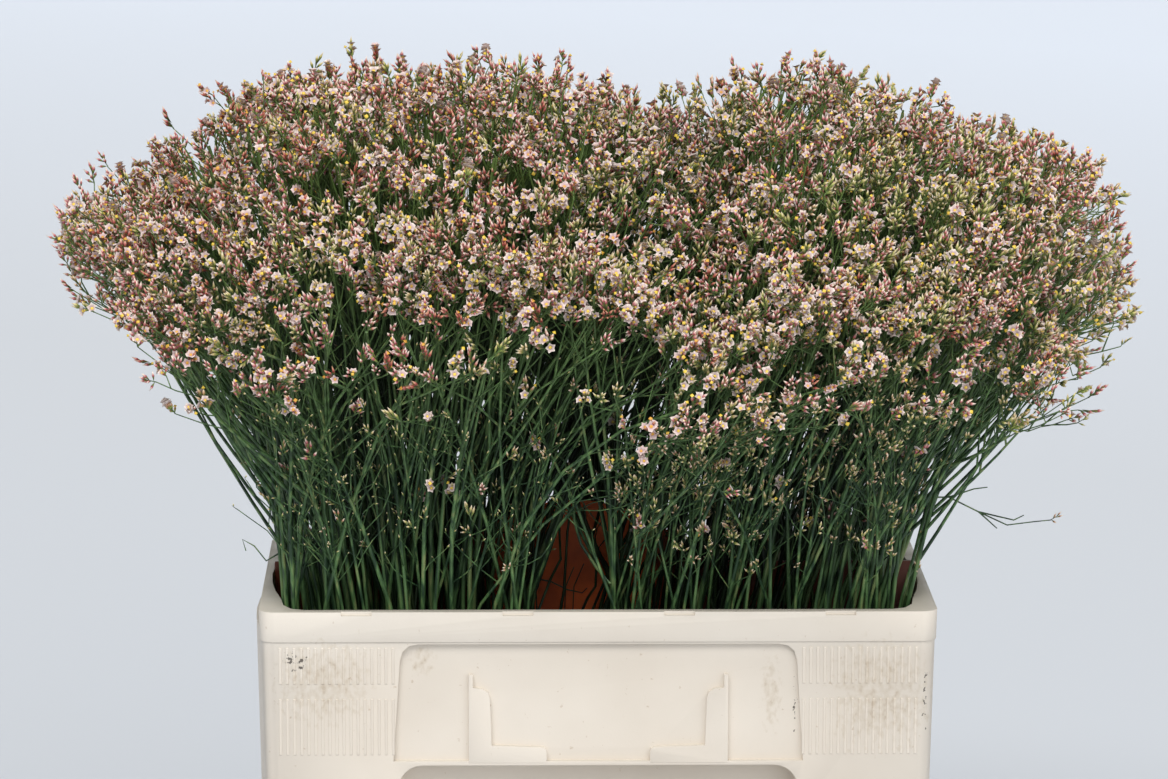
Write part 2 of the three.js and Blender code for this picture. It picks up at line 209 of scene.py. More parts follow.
def makeStemMaterial():
    look = stemLook
    material, tree, shader = newMaterial("statice stem green", look["fresh"], look["roughness"])
    across = addNoise(tree, look["acrossScale"], 2, look["stretch"])
    tint = addRamp(tree, across, [(0.4, look["deep"]), (0.58, look["fresh"]), (0.74, look["old"])])
    # Painted light: the stems turn a lighter yellow-green higher up
    tint = addLayer(tree, tint, look["twig"], addAxes(tree)["Z"], look["paintedLightLevels"])
    tint = addGrain(tree, tint, look["mottleScale"], 3, [(0.3, grey(0.72)), (0.7, grey(1.12))])
    addDepthShade(tree, shader, tint)
    ridges = addNoise(tree, look["ridgeScale"], 2, look["stretch"])
    addBump(tree, shader, ridges, look["ridgeStrength"], look["ridgeHeight"])
    return material


flowerLook = {
    "budBase": fromSrgb(88, 116, 48),
    "budGreen": fromSrgb(134, 148, 66),
    "budRed": fromSrgb(172, 74, 88),
    "budPink": fromSrgb(218, 150, 146),
    "budTip": fromSrgb(250, 234, 216),
    "budCream": fromSrgb(208, 196, 128),
    "budBrown": fromSrgb(220, 176, 150),
    "petalThroat": fromSrgb(132, 104, 60),
    "petalVein": fromSrgb(166, 134, 136),
    "petalPale": fromSrgb(222, 208, 200),
    "petalEdge": fromSrgb(252, 244, 228),
    "petalPink": fromSrgb(224, 180, 184),
    "pinkLevels": (0.5, 1.0, 0.25),
    "centreYellow": fromSrgb(246, 214, 84),
    "centreOrange": fromSrgb(230, 172, 70),
    "roughness": 0.6,
    "centreRoughness": 0.5,
    "sheen": 0.1,
    "budScale": 600,
    "veinScale": 1500,
    "centreScale": 1200,
}


def attributeOf(tree, name):
    return addNode(tree, "ShaderNodeAttribute", attribute_name=name).outputs["Fac"]


def makeBudMaterial():
    look = flowerLook
    material, tree, shader = newMaterial("bud pink", look["budPink"], look["roughness"], look["sheen"])
    along = attributeOf(tree, "along")
    tone = attributeOf(tree, "tone")
    stops = [(0.0, look["budBase"]), (0.36, look["budGreen"]), (0.48, look["budRed"])]
    pink = addRamp(tree, along, stops + [(0.6, look["budPink"]), (0.8, look["budTip"])])
    stops = [(0.0, look["budBase"]), (0.42, look["budGreen"]), (0.62, look["budCream"])]
    green = addRamp(tree, along, stops + [(1.0, look["budTip"])])
    tint = addMix(tree, addRamp(tree, tone, [(0.18, grey(1)), (0.42, grey(0))]), pink, green)
    brown = addRamp(tree, tone, [(0.84, grey(1)), (1.0, look["budBrown"])])
    tint = addMix(tree, 1.0, tint, brown, "MULTIPLY")
    tint = addGrain(tree, tint, look["budScale"], 2, [(0.3, (0.78, 0.74, 0.74, 1)), (0.7, grey(1.1))])
    addDepthShade(tree, shader, tint)
    return material


def makePetalMaterial():
    look = flowerLook
    pale = look["petalPale"]
    material, tree, shader = newMaterial("floret paper", pale, look["roughness"], look["sheen"])
    stops = [(0.0, look["petalThroat"]), (0.3, look["petalVein"])]
    stops += [(0.7, pale), (1.0, look["petalEdge"])]
    tint = addRamp(tree, attributeOf(tree, "along"), stops)
    tint = addGrain(tree, tint, look["veinScale"], 3, [(0.36, (0.8, 0.72, 0.76, 1)), (0.6, grey(1.05))])
    tint = addLayer(tree, tint, look["petalPink"], attributeOf(tree, "tone"), look["pinkLevels"])
    addDepthShade(tree, shader, tint)
    return material


def makeCentreMaterial():
    look = flowerLook
    yellow = look["centreYellow"]
    material, tree, shader = newMaterial("floret centre yellow", yellow, look["centreRoughness"])
    tint = addRamp(tree, attributeOf(tree, "tone"), [(0.7, yellow), (1.0, look["centreOrange"])])
    stops = [(0.3, (0.85, 0.8, 0.7, 1)), (0.7, (1.05, 1.05, 1.0, 1))]
    tint = addGrain(tree, tint, look["centreScale"], 2, stops)
    addDepthShade(tree, shader, tint)
    return material


crateLook = {
    "cream": fromSrgb(231, 222, 209),
    "creamShade": fromSrgb(223, 213, 199),
    "film": fromSrgb(206, 192, 170),
    "filmSpread": 0.34,
    "filmLevels": (0.36, 0.5, 0.36),
    "stain": fromSrgb(176, 152, 122),
    "stainSpread": 0.3,
    "stainLevels": (0.53, 0.68, 0.42),
    "scuff": fromSrgb(58, 50, 42),
    "scuffSpread": 0.3,
    "scuffLevels": (0.53, 0.58, 0.85),
    "dotLevels": (0.7, 0.76, 0.5),
    # Faces that point up, such as the top of the rim, are greyer
    "rimGrey": fromSrgb(198, 190, 176),
    "upFacingLevels": (0.7, 0.95, 0.8),
    # Painted shade below the rim band: how dark, and the heights in metres where it fades to none
    "paintedShadeBelowRim": (0.93, 0.92, 0.91, 1),
    "paintedShadeFrom": 0.27,
    "paintedShadeTo": 0.284,
    "cloudScale": 9,
    "grimeScale": 300,
    "speckScale": 420,
    "dotScale": 260,
    "streakScale": 60,
    "fineScale": 900,
    "fineStrength": 0.12,
    "fineHeight": 0.3 * mm,
    "roughness": 0.48,
    "glossy": 0.4,
    "dull": 0.6,
}
# Stained and scuffed places on the long sides: middle x and z and half sizes, in metres
crateStains = {
    "leftRibs": (-0.162, 0.258, 0.040, 0.036),
    "panelUpperLeft": (-0.104, 0.270, 0.012, 0.014),
    "panelRight": (0.102, 0.250, 0.009, 0.034),
    "rightRibs": (0.166, 0.250, 0.042, 0.046),
}
crateScuffs = {
    "leftScratches": (-0.178, 0.271, 0.013, 0.010),
    "rightEdge": (0.193, 0.248, 0.003, 0.032),
    "panelEdge": (0.116, 0.245, 0.0025, 0.030),
}


def addPatches(tree, axes, patches):
    total = 0.0
    for patch in patches.values():
        squares = 0.0
        for axis, middle, half in zip("XZ", patch[:2], patch[2:]):
            away = addMaths(tree, "DIVIDE", addMaths(tree, "SUBTRACT", axes[axis], middle), half)
            squares = addMaths(tree, "ADD", squares, addMaths(tree, "POWER", away, 2))
        inside = addMaths(tree, "MAXIMUM", addMaths(tree, "SUBTRACT", 1.0, squares), 0.0)
        total = addMaths(tree, "ADD", inside, total)
    return total


# Noise that only comes through where the patches are strong
def addSpread(tree, patches, noise, weight):
    limited = addMaths(tree, "MINIMUM", patches, 1.0)
    lowered = addMaths(tree, "MULTIPLY", addMaths(tree, "SUBTRACT", limited, 1.0), weight)
    return addMaths(tree, "ADD", noise, lowered)


def makeCrateMaterial():
    look = crateLook
    material, tree, shader = newMaterial("crate cream plastic", look["cream"], look["roughness"])
    axes = addAxes(tree)
    clouds = addNoise(tree, look["cloudScale"], 5)
    colour = addRamp(tree, clouds, [(0.35, look["creamShade"]), (0.6, look["cream"])])
    grime = addNoise(tree, look["grimeScale"], 9, (1, 1, 0.7))
    stains = addPatches(tree, axes, crateStains)
    film = addSpread(tree, stains, grime, look["filmSpread"])
    colour = addLayer(tree, colour, look["film"], film, look["filmLevels"])
    stained = addSpread(tree, stains, grime, look["stainSpread"])
    colour = addLayer(tree, colour, look["stain"], stained, look["stainLevels"])
    specks = addNoise(tree, look["speckScale"], 5)
    scuffed = addSpread(tree, addPatches(tree, axes, crateScuffs), specks, look["scuffSpread"])
    colour = addLayer(tree, colour, look["scuff"], scuffed, look["scuffLevels"])
    # Painted shade: the crate is darker below the rim band
    paintedShade = addRamp(tree, axes["Z"], [(look["paintedShadeFrom"], look["paintedShadeBelowRim"]), (look["paintedShadeTo"], grey(1))])
    colour = addMix(tree, 1.0, colour, paintedShade, "MULTIPLY")
    dots = addNoise(tree, look["dotScale"], 3)
    colour = addLayer(tree, colour, look["stain"], dots, look["dotLevels"])
    # Faces that point up are greyer
    normal = addNode(tree, "ShaderNodeNewGeometry").outputs["Normal"]
    facing = addNode(tree, "ShaderNodeSeparateXYZ", {"Vector": normal}).outputs["Z"]
    colour = addLayer(tree, colour, look["rimGrey"], facing, look["upFacingLevels"])
    tree.links.new(colour, shader.inputs["Base Color"])
    streaks = addNoise(tree, look["streakScale"], 4)
    gloss = addRamp(tree, streaks, [(0.3, grey(look["glossy"])), (0.7, grey(look["dull"]))])
    tree.links.new(gloss, shader.inputs["Roughness"])
    addBump(tree, shader, addNoise(tree, look["fineScale"], 3), look["fineStrength"], look["fineHeight"])
    return material


dividerLook = {
    # Orange-brown plastic, brightened beyond its own colour as painted light where the gap in the bunch lets
    # light in
    "orangeBrown": fromSrgb(236, 112, 52),
    "dark": fromSrgb(178, 80, 38),
    "roughness": 0.5,
    "cloudScale": 30,
    "fineScale": 800,
    "fineStrength": 0.15,
    "fineHeight": 0.3 * mm,
    "parting": -0.008,  # x of the gap in the bunch, and how far from it there is light, in metres
    "litWithin": 0.028,
    "darkBeyond": 0.06,
    "shade": (0.16, 0.14, 0.13, 1),
}


def makeDividerMaterial():
    look = dividerLook
    material, tree, shader = newMaterial("divider plastic", look["orangeBrown"], look["roughness"])
    clouds = addNoise(tree, look["cloudScale"], 5)
    tint = addRamp(tree, clouds, [(0.3, look["dark"]), (0.65, look["orangeBrown"])])
    # Painted light near the gap in the bunch, painted shade away from it
    away = addMaths(tree, "ABSOLUTE", addMaths(tree, "SUBTRACT", addAxes(tree)["X"], look["parting"]))
    lit = addRamp(tree, away, [(look["litWithin"], grey(1)), (look["darkBeyond"], look["shade"])])
    tree.links.new(addMix(tree, 1.0, tint, lit, "MULTIPLY"), shader.inputs["Base Color"])
    addBump(tree, shader, addNoise(tree, look["fineScale"], 3), look["fineStrength"], look["fineHeight"])
    return material


stemMaterial = makeStemMaterial()
budMaterial = makeBudMaterial()
petalMaterial = makePetalMaterial()
centreMaterial = makeCentreMaterial()
crateMaterial = makeCrateMaterial()
dividerMaterial = makeDividerMaterial()
print("materials made")


# Pieces

def meshFrom(bm, name):
    mesh = bpy.data.meshes.new(name)
    bm.to_mesh(mesh)
    bm.free()
    return mesh


def takeIn(bm, mesh):
    bm.from_mesh(mesh)
    bpy.data.meshes.remove(mesh)


def addObject(name, data):
    thing = bpy.data.objects.new(name, data)
    bpy.context.scene.collection.objects.link(thing)
    return thing


def addPiece(mesh, materials, nodes):
    piece = addObject(mesh.name, mesh)
    for material in materials:
        mesh.materials.append(material)
    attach(piece, "root")
    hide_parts(*nodes)
    return piece


def shadeSmooth(mesh):
    mesh.polygons.foreach_set("use_smooth", [True] * len(mesh.polygons))


# The crate and its divider: the frame's own shapes with rounded edges

roundedEdges = {
    "crateWidth": 0.7 * mm,
    "dividerWidth": 0.5 * mm,
    "segments": 2,
    "sharpAngle": math.radians(34),
    "flatAngle": math.radians(1),
    "mergeWithin": 0.01 * mm,
}


def makeRounded(node, name, width, material):
    bm = bmesh.new()
    bm.from_mesh(frame["nodes"][node].data)
    bmesh.ops.remove_doubles(bm, verts=bm.verts, dist=roundedEdges["mergeWithin"])
    bmesh.ops.dissolve_limit(bm, angle_limit=roundedEdges["flatAngle"], verts=bm.verts, edges=bm.edges)
    mesh = meshFrom(bm, name)
    shadeSmooth(mesh)
    piece = addPiece(mesh, [material], [node])
    bevel = piece.modifiers.new("rounded edges", "BEVEL")
    bevel.width = width
    bevel.segments = roundedEdges["segments"]
    bevel.limit_method = "ANGLE"
    bevel.angle_limit = roundedEdges["sharpAngle"]
    bevel.harden_normals = True


makeRounded("crate", "crate_shell", roundedEdges["crateWidth"], crateMaterial)
makeRounded("divider", "divider_plate", roundedEdges["dividerWidth"], dividerMaterial)

# Upright ribs in two rows at both ends of each long side
ribs = {
    "from": 121 * mm,
    "to": 191 * mm,
    "pitch": 4.15 * mm,
    "width": 1.7 * mm,
    "rise": 0.45 * mm,
    "edge": 0.4 * mm,
    "rows": ((256.5 * mm, 278.5 * mm), (213.5 * mm, 247.5 * mm)),
    "taper": 0.0227,
    "faceAtRim": 114.2 * mm,  # how far out the wall's face is at the rim. It tapers below.
    "rimHeight": 300 * mm,
}


def makeRib(low, high):
    bm = bmesh.new()
    bmesh.ops.create_cube(bm, size=1)
    bmesh.ops.scale(bm, vec=(ribs["width"], ribs["rise"] * 2, high - low), verts=bm.verts)
    outer = [edge for edge in bm.edges if all(vert.co.y < 0 for vert in edge.verts)]
    offset = ribs["edge"]
    bmesh.ops.bevel(bm, geom=outer, offset=offset, segments=2, profile=0.5, affect="EDGES", material=-1)
    middle = (low + high) / 2
    lean = Matrix.Rotation(math.atan(ribs["taper"]), 4, "X")
    face = ribs["faceAtRim"] - ribs["taper"] * (ribs["rimHeight"] - middle)
    bmesh.ops.transform(bm, matrix=Matrix.Translation((0, -face, middle)) @ lean, verts=bm.verts)
    return meshFrom(bm, "rib")


def makeRibs():
    rowMeshes = [makeRib(low, high) for low, high in ribs["rows"]]
    bm = bmesh.new()
    count = int((ribs["to"] - ribs["from"]) / ribs["pitch"])
    for turn in (0, math.pi):
        for side in (-1, 1):
            for index in range(count + 1):
                for mesh in rowMeshes:
                    one = mesh.copy()
                    x = side * (ribs["from"] + index * ribs["pitch"])
                    one.transform(Matrix.Rotation(turn, 4, "Z") @ Matrix.Translation((x, 0, 0)))
                    takeIn(bm, one)
    bpy.data.batch_remove(rowMeshes)
    addPiece(meshFrom(bm, "crate_ribs"), [crateMaterial], ["crate"])


makeRibs()
print("crate and divider made")


# The bunch: each spray fills a cell of its own, as its node in the frame does. In millimetres, at the cut
# ends (foot), the rim and the top. Shoulders raise or lower the top: where, how wide, how far.

bunch = {
    "crateHeight": 300,
    "foot": 3.8,
    "rows": ((6, 5), (5, 4), (6, 5), (5, 4)),
    "bundleEnd": {"foot": 165, "rim": 187, "top": 334},
    "partingMiddle": {"foot": -15, "rim": -14, "top": 56},
    "partingHalf": {"foot": 7, "rim": 22, "top": 0},
    "partingBehind": 0.3,
    "depthHalf": {"foot": 88, "rim": 94, "top": 226},
    "dividerY": 8,
    "dividerTop": 347,
    "dividerRoom": {"foot": 4.5, "rim": 4.5, "top": 0},
    "height": 322,
    "sideDrop": 118,
    "frontDrop": 150,
    "sidePower": 4,
    "frontPower": 3,
    "notchMiddle": 70,
    "notchDrop": 38,
    "notchSpread": 30,
    "frontNorm": 2,
    "backNorm": 1.4,
    "squareness": 0.45,
    "fanPower": 1.4,
    "partingPower": 0.6,
    "shoulders": (
        (-1, 0.07, 20),
        (-0.85, 0.07, -14),
        (-0.7, 0.1, 12),
        (-0.08, 0.1, -18),
        (0.6, 0.2, -20),
        (0.9, 0.1, 10),
        (1, 0.07, -22),
    ),
}


# Even draws from 0 to 1, the same ones as the sprays in the frame have
def drawsFrom(seed):
    step = 0
    while True:
        step += 1
        value = math.sin(seed * 12.9898 + step * 78.233) * 43758.5453
        yield value - math.floor(value)


def lerp(first, second, share):
    return first + (second - first) * share


def reach(a, b, x):
    side = bunch["sideDrop"] * abs(a) ** bunch["sidePower"]
    front = bunch["frontDrop"] * abs(b) ** bunch["frontPower"]
    norm = bunch["backNorm"] if b > 0 else bunch["frontNorm"]
    drop = (side ** norm + front ** norm) ** (1 / norm)
    away = (x - bunch["notchMiddle"]) / bunch["notchSpread"]
    lift = sum(rise * math.exp(-((a - middle) / spread) ** 2) for middle, spread, rise in bunch["shoulders"])
    return bunch["height"] - drop + lift - bunch["notchDrop"] * math.exp(-away * away)


def edgeOf(side, b, level):
    half = bunch["partingHalf"][level] * (bunch["partingBehind"] if b > 0 else 1)
    return bunch["partingMiddle"][level] + side * half


def backwards(b, level):
    start = bunch["dividerY"] + math.copysign(bunch["dividerRoom"][level], b)
    return start + abs(b) * (math.copysign(bunch["depthHalf"][level], b) - start)


# a runs from left to right, b from front to back, k from -1 at the cut end over 0 at the rim to 1 at the top
def passage(a, b, k):
    side = math.copysign(1, a)
    end = bunch["bundleEnd"]
    if k <= 0:
        inner = lerp(edgeOf(side, b, "rim"), edgeOf(side, b, "foot"), -k)
        outer = side * lerp(end["rim"], end["foot"], -k)
        y = lerp(backwards(b, "rim"), backwards(b, "foot"), -k)
        return Vector((lerp(inner, outer, abs(a)), y, lerp(bunch["crateHeight"], bunch["foot"], -k)))
    spread = k ** bunch["fanPower"]
    inner = lerp(edgeOf(side, b, "rim"), edgeOf(side, b, "top"), k ** bunch["partingPower"])
    topX = end["top"] * math.sqrt(1 - bunch["squareness"] * b * b)
    outer = side * lerp(end["rim"], topX, spread)
    x = lerp(inner, outer, abs(a))
    topY = backwards(b, "top") * math.sqrt(1 - bunch["squareness"] * a * a)
    return Vector((x, lerp(backwards(b, "rim"), topY, spread), bunch["crateHeight"] + k * reach(a, b, x)))


def makeCells():
    cells = []
    rowCount = len(bunch["rows"])
    for row, columnsOf in enumerate(bunch["rows"]):
        for side, columns in zip((-1, 1), columnsOf):
            for column in range(columns):
                cells.append({
                    "a": side * (column + 0.5) / columns,
                    "b": (row + 0.5) / (rowCount / 2) - 1,
                    "halfA": side / (2 * columns),
                    "halfB": 1 / rowCount,
                    "innerU": column == 0,
                    "outerU": column == columns - 1,
                    "outerV": int(row == rowCount - 1) - int(row == 0),
                    "seed": len(cells) + 1,
                })
    return cells


# One cluster of buds and florets, about 14 mm across, standing on its point. Millimetres here.

cluster = {
    "sorts": {
        "closed": {"kinds": 6, "buds": (5, 7), "florets": (0, 0, 1), "size": 1},
        "open": {"kinds": 6, "buds": (3, 4), "florets": (2, 3, 4), "size": 1},
        "young": {"kinds": 3, "buds": (4, 5), "florets": (0,), "size": 0.72},
    },
    "axis": 7,
    "axisRadius": (0.45, 0.2),
    "bend": 3.5,
    "budLength": (5.8, 8.0),
    "budRadius": (0.8, 1.0),
    "budWaist": 0.56,
    "budHeart": 1.2,
    "scaleSize": 0.55,
    "floretRadius": (2.5, 3.0),
    "floretLength": 5.0,
    "cupDepth": 1.8,
    "petalCurl": 0.4,
    "tubeLength": 3.4,
    "tubeRadius": (0.5, 1.1),
    "centreRadius": 1.3,
    "centreRise": 1,
    "centreHeight": 1.3,
    "lobes": 5,
    "lobeDip": 0.66,
    "lowTilt": math.radians(60),
    "highTilt": math.radians(6),
    "tiltSpread": (0.8, 1.2),
    "combTurn": math.radians(40),
    "combSpread": (0.2, 1),
    "goldenTurn": math.radians(137.5),
    "turnSpread": 0.3,
}


# At the root, along the direction, with a random roll
def placeAt(root, direction, draw):
    turned = direction.to_track_quat("Z", "Y").to_matrix().to_4x4()
    return Matrix.Translation(root) @ (turned @ Matrix.Rotation(draw.uniform(0, math.tau), 4, "Z"))


def placeVerts(bm, verts, place, material):
    bmesh.ops.transform(bm, matrix=place, verts=verts)
    for face in {face for vert in verts for face in vert.link_faces}:
        face.material_index = material
        face.smooth = True


# The layer along holds how far up its bud or petal a vertex is, for the materials
def addBud(bm, along, root, direction, draw):
    made = bmesh.ops.create_uvsphere(bm, u_segments=4, v_segments=2, radius=1)
    length = draw.uniform(*cluster["budLength"])
    radius = draw.uniform(*cluster["budRadius"])
    for vert in made["verts"]:
        vert[along] = (vert.co.z + 1) / 2
        waist = abs(vert.co.z) < 0.5
        height = cluster["budWaist"] if waist else vert[along]
        vert.co = Vector((vert.co.x * radius, vert.co.y * radius, length * height))
    place = placeAt(root, direction, draw)
    placeVerts(bm, made["verts"], place, 0)
    return place @ Matrix.Translation((0, 0, length))


# A bud about to open shows its yellow heart
def addHeartBud(bm, along, root, direction, draw):
    tip = addBud(bm, along, root, direction, draw)
    addHeart(bm, along, tip, cluster["budHeart"])


def addHeart(bm, along, place, radius):
    height = cluster["centreHeight"]
    heart = bmesh.ops.create_cone(bm, cap_ends=False, segments=4, radius1=radius, radius2=0, depth=height)
    for vert in heart["verts"]:
        vert[along] = 0.5
    placeVerts(bm, heart["verts"], place, 2)


def addFloret(bm, along, root, direction, draw):
    radius = draw.uniform(*cluster["floretRadius"])
    length = cluster["floretLength"]
    throat = length - cluster["cupDepth"]
    curl = cluster["petalCurl"]
    place = placeAt(root, direction, draw)
    corners = cluster["lobes"] * 2
    paper = bmesh.ops.create_circle(bm, cap_ends=True, cap_tris=True, segments=corners, radius=radius)
    for index, vert in enumerate(paper["verts"]):
        rim = vert.co.length > radius / 2
        dip = cluster["lobeDip"] if index % 2 else 1
        vert[along] = (1 if dip == 1 else 0.72) if rim else 0.1
        vert.co = Vector((vert.co.x * dip, vert.co.y * dip, length if rim else throat))
        if rim:
            vert.co.z += draw.uniform(-curl, curl)
    placeVerts(bm, paper["verts"], place, 1)
    depth = cluster["tubeLength"]
    low, high = cluster["tubeRadius"]
    tube = bmesh.ops.create_cone(bm, cap_ends=False, segments=3, radius1=low, radius2=high, depth=depth)
    for vert in tube["verts"]:
        vert[along] = 0.2 if vert.co.z < 0 else 0.62
        vert.co.z += depth / 2
    placeVerts(bm, tube["verts"], place, 0)
    centre = place @ Matrix.Translation((0, 0, throat + cluster["centreRise"]))
    addHeart(bm, along, centre, cluster["centreRadius"])


# Even kinds fan out all round, odd ones are combs with their buds on one side of a bent stalk
def budDirection(index, share, comb, draw):
    tilt = lerp(cluster["lowTilt"], cluster["highTilt"], share) * draw.uniform(*cluster["tiltSpread"])
    if comb:
        turn = cluster["combTurn"] * draw.uniform(*cluster["combSpread"]) * (1 if index % 2 else -1)
    else:
        turn = index * cluster["goldenTurn"] + draw.uniform(-cluster["turnSpread"], cluster["turnSpread"])
    return Vector((math.cos(turn) * math.sin(tilt), math.sin(turn) * math.sin(tilt), math.cos(tilt)))


def makeCluster(draw, buds, florets, comb, size):
    bm = bmesh.new()
    along = bm.verts.layers.float.new("along")
    axis = cluster["axis"]
    bend = cluster["bend"] if comb else 0
    low, high = cluster["axisRadius"]
    stalk = bmesh.ops.create_cone(bm, cap_ends=False, segments=3, radius1=low, radius2=high, depth=axis)
    for vert in stalk["verts"]:
        vert[along] = 0
        vert.co.z += axis / 2
        vert.co.x += bend * (vert.co.z / axis) ** 2
    placeVerts(bm, stalk["verts"], Matrix.Identity(4), 3)
    total = buds + florets
    hearts = 1 if florets else 0
    grown = [addFloret] * florets + [addHeartBud] * hearts + [addBud] * (buds - hearts)
    draw.shuffle(grown)
    for index, grow in enumerate(grown):
        share = (index + 0.5) / total
        root = Vector((bend * share * share, 0, axis * share))
        grow(bm, along, root, budDirection(index, share, comb, draw), draw)
    bmesh.ops.scale(bm, vec=(size * mm, size * mm, size * mm), verts=bm.verts)
    mesh = meshFrom(bm, "cluster kind")
    mesh.attributes.new("tone", "FLOAT", "POINT")
    return mesh


def makeClusterKinds():
    draw = random.Random(900)
    kinds = {sort: [] for sort in cluster["sorts"]}
    for sort, values in cluster["sorts"].items():
        for index in range(values["kinds"]):
            buds = draw.randint(*values["buds"])
            florets = values["florets"][index % len(values["florets"])]
            kinds[sort].append(makeCluster(draw, buds, florets, index % 2, values["size"]))
    kinds["scale"] = [makeCluster(draw, 1, 0, 0, cluster["scaleSize"])]
    return kinds


clusterKinds = makeClusterKinds()
print("cluster kinds made")


# One spray: its stems from the cut ends up, their limbs, twigs and clusters. In a cell u runs outwards and v
# backwards, both from -1 to 1, and tops, lows and drops are shares of the height k. Lengths in millimetres.

growth = {
    "stems": {"outer": 13, "inner": 11},
    "bareStems": {"outer": 3, "inner": 11},
    "heads": {"outer": 15, "inner": 9},
    "headSteps": (0.7548776662, 0.5698402910),
    "headTop": 0.955,
    "headLow": {"outer": {"left": 0.86, "right": 0.85}, "inner": {"left": 0.82, "right": 0.82}},
    "outerHeads": 6,
    "endHeads": 9,
    "frontLow": {"left": 0.88, "right": 0.89},
    "frontEdge": {"left": 0.45, "right": 0.6},
    "sideLow": {"left": 0.8, "right": 0.74},
    "outwardsFrom": {"front": 0.7, "side": 0.6},
    "headPower": 1.8,  # above 1 more heads are high up, below 1 more are low down
    "edgePower": 0.8,
    "limbBack": (0.3, 0.8),
    "limbStart": (0.04, 0.95),
    "limbTwigs": 2,
    "limbBareUpTo": 0.6,
    "forks": 2,
    "forkStart": (0.4, 0.8),
    "forkSpread": 0.9,
    "forkDrop": 0.12,
    "forkTwigs": 1,
    "limbBow": 0.12,
    "forkBow": 0.22,
    "twigBow": 0.16,
    "twigBareUpTo": 0.5,
    "twigsUpTo": 0.95,
    "twigShare": 0.9,
    "twigReach": (6, 15),
    "twigSpread": 0.75,
    "twigRise": 0.3,
    "openShare": 0.38,
    "strayOpen": 0.1,
    "toneJitter": 0.12,
    "clusterSize": (0.9, 1.2),
    "clusterHeading": {"twig": 0.5, "outwards": 0.4, "up": 0.35, "aside": 0.55, "rise": 0.7},
    "secondCluster": 0.35,
    "secondFrom": (0.4, 0.7),
    "secondWay": {"along": 0.6, "aside": 0.8, "rise": 0.6},
    "secondReach": (7, 13),
    "shoots": {"outer": 6, "inner": 3},
    "frontShoots": {"left": 8, "right": 12},
    "shootWay": {"along": 0.9, "aside": 0.6, "rise": 0.3},
    "shootReach": (10, 54),
    "shootBend": 0.45,
    "youngShare": {"left": 0.14, "right": 0.8},
    "backYoungShare": 0.3,
    "lowShare": {"left": 0.03, "right": 0.09},
    "shootFrom": 0.52,
    "shootUpTo": {"left": 0.84, "right": 0.9},
    "youngTone": 0.17,
    "toneDrift": 0.0002,
    "stemRadius": (1.2, 2.1),
    "stemTaper": 0.4,
    "firstStemSize": 1.15,
    "stemPoints": 9,
    "limbRadius": (1.15, 0.5),
    "forkRadius": (0.75, 0.4),
    "twigRadius": (0.46, 0.34),
    "stemTop": {"left": (0.86, 0.95), "right": (0.8, 0.94)},
    "stemLimit": {"left": 0.87, "right": 0.95},
    "crossFrom": 0.4,
    "cornerStems": 5,
    "cornerFrom": 0.6,
    "crossing": {"front": 5, "back": 13},
    "crossingFrom": (-0.98, -0.5),
    "crossingReach": (0.8, 3.6),
    "rimSpread": 1.1,
    "lean": {"left": 2.2, "right": 3.0},
    "backLean": 0.8,
    "footLean": -0.6,
    "sway": 3.0,
    "swayTurns": (5, 2),
    "boxMargin": {"low": (14.5, 16, 15), "high": (12, 17, 16.5)},
}


def alongLine(points, share):
    at = share * (len(points) - 1)
    before = min(int(at), len(points) - 2)
    step = points[before + 1] - points[before]
    return points[before] + step * (at - before), step.normalized()


def tipHeading(line):
    return (line[-1] - line[-2]).normalized()


def bentLine(start, middle, end, count):
    shares = [index / (count - 1) for index in range(count)]
    return [start * (1 - t) ** 2 + middle * (2 * t * (1 - t)) + end * (t * t) for t in shares]


# A branch leaves its stem at a wide angle and then turns up beside it
def forkedLine(start, end, heading, bow, count):
    way = end - start
    sideways = way - heading * way.dot(heading)
    return bentLine(start, (start + end) / 2 + sideways * bow, end, count)


def insideBox(point):
    margin = growth["boxMargin"]
    for axis in range(3):
        low = cadLow[axis] / mm + margin["low"][axis]
        high = cadHigh[axis] / mm - margin["high"][axis]
        point[axis] = min(max(point[axis], low), high)
    return point


# A place near the cell's own. It may lie past the parting, and past the divider only high up.
def placeNear(cell, u, v, k, limit=1):
    a = cell["a"] + u * cell["halfA"]
    if abs(a) > limit:
        a = math.copysign(2 * limit - abs(a), a)
    b = cell["b"] + v * cell["halfB"]
    if b * cell["b"] <= 0 and k < growth["crossFrom"]:
        b = math.copysign(0.01, cell["b"])
    return passage(a, max(-1, min(b, 1)), k)


# Below its top edge nothing passes through the divider
def keepSide(cell, points):
    edge = bunch["dividerY"] + math.copysign(bunch["dividerRoom"]["rim"], cell["b"])
    for point in points:
        if point.z < bunch["dividerTop"]:
            point.y = min(point.y, edge) if cell["b"] < 0 else max(point.y, edge)
    return points


def layerOf(cell):
    return "outer" if cell["outerU"] or cell["outerV"] else "inner"


def sideOf(cell):
    return "left" if cell["a"] < 0 else "right"


# The flowers stand out less far at the front, most of all at its left half
def frontLimit(cell, v):
    return max(v, -growth["frontEdge"][sideOf(cell)]) if cell["outerV"] < 0 else v


